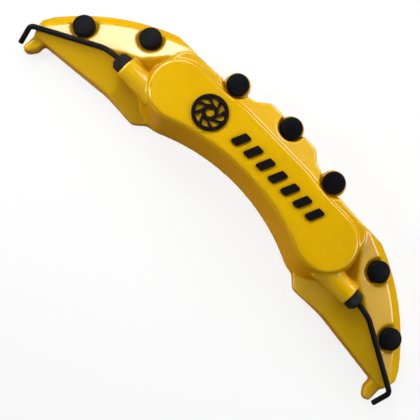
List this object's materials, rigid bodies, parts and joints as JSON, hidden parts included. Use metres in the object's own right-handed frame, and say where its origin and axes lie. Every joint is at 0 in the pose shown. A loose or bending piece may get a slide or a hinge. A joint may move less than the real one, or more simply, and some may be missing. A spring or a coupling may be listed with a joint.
{
  "type": "brake caliper cover",
  "caption": "Hollow moulded clip-on cover for a brake caliper, with dummy bolts and pipes, raised plate and slotted steel clips behind.",
  "frame": {"origin": "middle of the cover, in the plane of its rim", "axes": "+X along the cover towards its right end, +Y towards the scalloped outer edge, +Z out of the face"},
  "size_m": [0.2736, 0.0781, 0.0353],
  "materials": {
    "yellow_shell": "satin-gloss yellow moulded ABS",
    "bolt_black": "black moulded plastic, semi-gloss",
    "pipe_black": "black coated rod, semi-gloss",
    "nut_black": "black moulded hexagon nut",
    "emblem_black": "raised black print",
    "steel": "stainless sheet and screws",
    "foam": "closed-cell adhesive foam"
  },
  "bodies": {
    "cover": {"cover_shell": "yellow_shell", "bolt_cap_1": "bolt_black", "bolt_cap_2": "bolt_black", "bolt_cap_3": "bolt_black", "bolt_cap_4": "bolt_black", "bolt_cap_5": "bolt_black", "bolt_cap_6": "bolt_black", "bolt_cap_7": "bolt_black", "pipe_left": "pipe_black", "pipe_nut_left": "nut_black", "pipe_right": "pipe_black", "pipe_nut_right": "nut_black", "emblem_disc": "emblem_black", "emblem_stripe_1": "emblem_black", "emblem_stripe_2": "emblem_black", "emblem_stripe_3": "emblem_black", "emblem_stripe_4": "emblem_black", "emblem_stripe_5": "emblem_black", "emblem_stripe_6": "emblem_black", "emblem_stripe_7": "emblem_black", "foam_pad_left": "foam", "foam_pad_right": "foam"},
    "clip_1": {"bracket_1": "steel"},
    "washer_1": {"bracket_washer_1": "steel"},
    "screw_1": {"bracket_screw_1": "steel"},
    "clip_2": {"bracket_2": "steel"},
    "washer_2": {"bracket_washer_2": "steel"},
    "screw_2": {"bracket_screw_2": "steel"},
    "clip_3": {"bracket_3": "steel"},
    "washer_3": {"bracket_washer_3": "steel"},
    "screw_3": {"bracket_screw_3": "steel"},
    "clip_4": {"bracket_4": "steel"},
    "washer_4": {"bracket_washer_4": "steel"},
    "screw_4": {"bracket_screw_4": "steel"}
  },
  "joints": [
    {"name": "clip_1_slide", "type": "slide", "parent": "cover", "child": "clip_1", "axis": [0, 1, 0], "range_m": [-0.003, 0.003]},
    {"name": "clamp_1_lift", "type": "slide", "parent": "cover", "child": "washer_1", "axis": [0, 0, -1], "range_m": [0, 0.0015]},
    {"name": "screw_1_turn", "type": "hinge", "parent": "washer_1", "child": "screw_1", "pos_m": [-0.095, -0.00625, 0.01], "axis": [0, 0, -1], "range_deg": [0, 540]},
    {"name": "clip_2_slide", "type": "slide", "parent": "cover", "child": "clip_2", "axis": [0, 1, 0], "range_m": [-0.003, 0.003]},
    {"name": "clamp_2_lift", "type": "slide", "parent": "cover", "child": "washer_2", "axis": [0, 0, -1], "range_m": [0, 0.0015]},
    {"name": "screw_2_turn", "type": "hinge", "parent": "washer_2", "child": "screw_2", "pos_m": [-0.022, 0.00975, 0.01], "axis": [0, 0, -1], "range_deg": [0, 540]},
    {"name": "clip_3_slide", "type": "slide", "parent": "cover", "child": "clip_3", "axis": [0, 1, 0], "range_m": [-0.003, 0.003]},
    {"name": "clamp_3_lift", "type": "slide", "parent": "cover", "child": "washer_3", "axis": [0, 0, -1], "range_m": [0, 0.0015]},
    {"name": "screw_3_turn", "type": "hinge", "parent": "washer_3", "child": "screw_3", "pos_m": [0.022, 0.00975, 0.01], "axis": [0, 0, -1], "range_deg": [0, 540]},
    {"name": "clip_4_slide", "type": "slide", "parent": "cover", "child": "clip_4", "axis": [0, 1, 0], "range_m": [-0.003, 0.003]},
    {"name": "clamp_4_lift", "type": "slide", "parent": "cover", "child": "washer_4", "axis": [0, 0, -1], "range_m": [0, 0.0015]},
    {"name": "screw_4_turn", "type": "hinge", "parent": "washer_4", "child": "screw_4", "pos_m": [0.095, -0.00625, 0.01], "axis": [0, 0, -1], "range_deg": [0, 540]}
  ],
  "couplings": [
    {"joint": "screw_1_turn", "follows": "clamp_1_lift", "rad_per_m": 6283.2},
    {"joint": "screw_2_turn", "follows": "clamp_2_lift", "rad_per_m": 6283.2},
    {"joint": "screw_3_turn", "follows": "clamp_3_lift", "rad_per_m": 6283.2},
    {"joint": "screw_4_turn", "follows": "clamp_4_lift", "rad_per_m": 6283.2}
  ]
}
